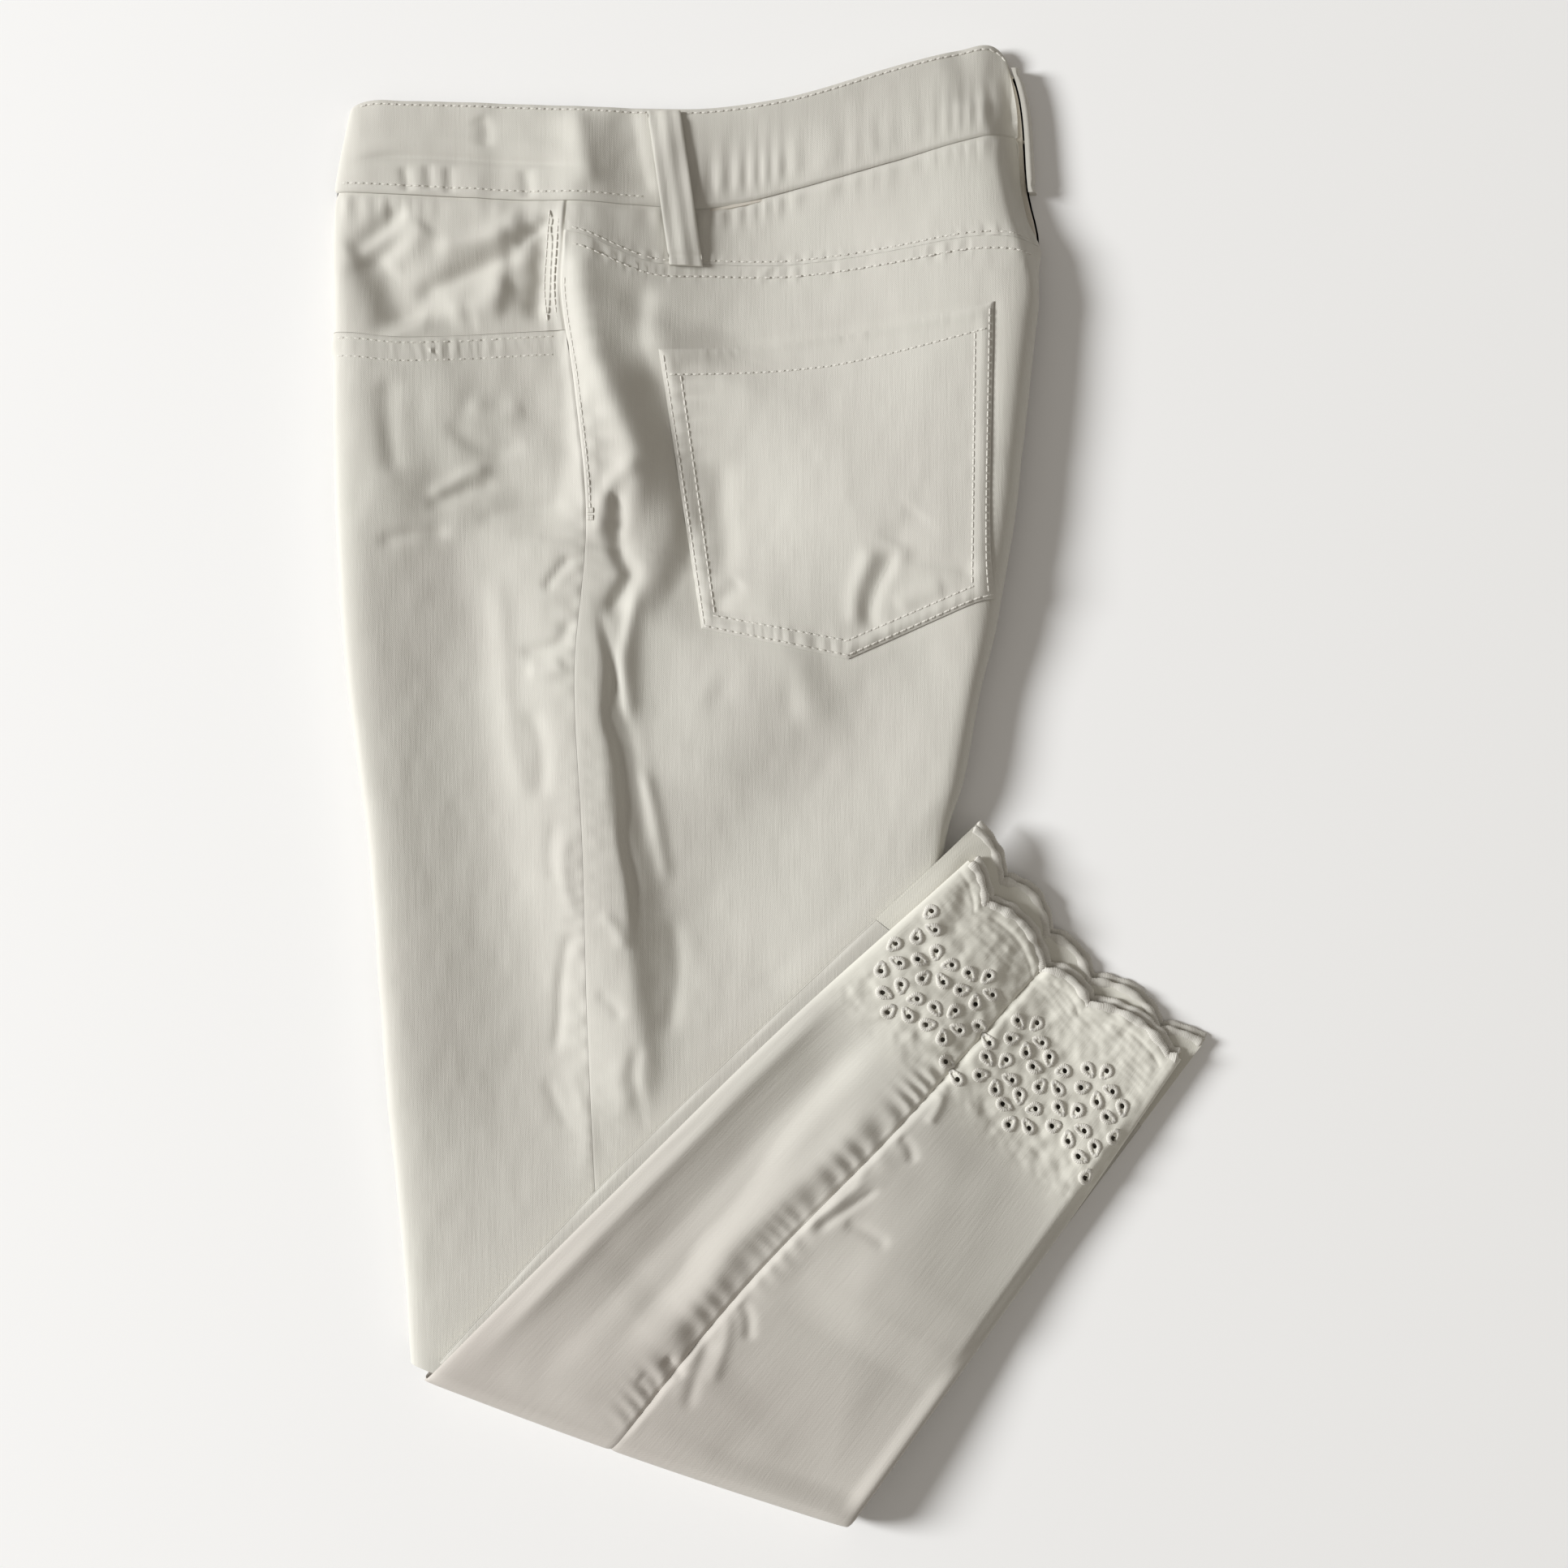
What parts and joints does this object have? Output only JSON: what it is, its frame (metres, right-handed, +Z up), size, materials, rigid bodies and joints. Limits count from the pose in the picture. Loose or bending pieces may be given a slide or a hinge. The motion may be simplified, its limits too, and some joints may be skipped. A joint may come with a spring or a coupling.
{
  "type": "folded pair of ankle trousers",
  "caption": "Cream stretch-denim ankle trousers with scalloped eyelet hems, folded lengthwise and again at the knee, lying flat.",
  "frame": {"origin": "centre of the folded trousers' outline, on the plane they lie on", "axes": "+Z up from the plane they lie on, +Y from the knee fold towards the waist, +X from the front crease towards the back crease"},
  "size_m": [0.4066, 0.6875, 0.0249],
  "materials": {
    "denim": "matte cream stretch twill",
    "denim_hidden": "matte cream stretch twill, inside layers",
    "denim_trim": "folded and topstitched cream twill",
    "eyelet_hem": "cream twill with tonal satin-stitched eyelets and scalloped border"
  },
  "bodies": {
    "root": {"folded_layers_upper": "denim_hidden", "left_front": "denim", "left_pocket_facing": "denim_hidden", "left_back": "denim", "left_yoke": "denim", "waistband_left_half": "denim", "waistband_right_half": "denim", "left_back_pocket": "denim", "belt_loop_side": "denim_trim", "belt_loop_back": "denim_trim", "left_leg_lower": "denim_hidden", "left_hem_outer": "eyelet_hem", "left_hem_inner": "eyelet_hem", "folded_layers_lower": "denim_hidden", "right_hem_inner": "eyelet_hem", "right_front": "denim", "right_back": "denim"}
  },
  "joints": []
}
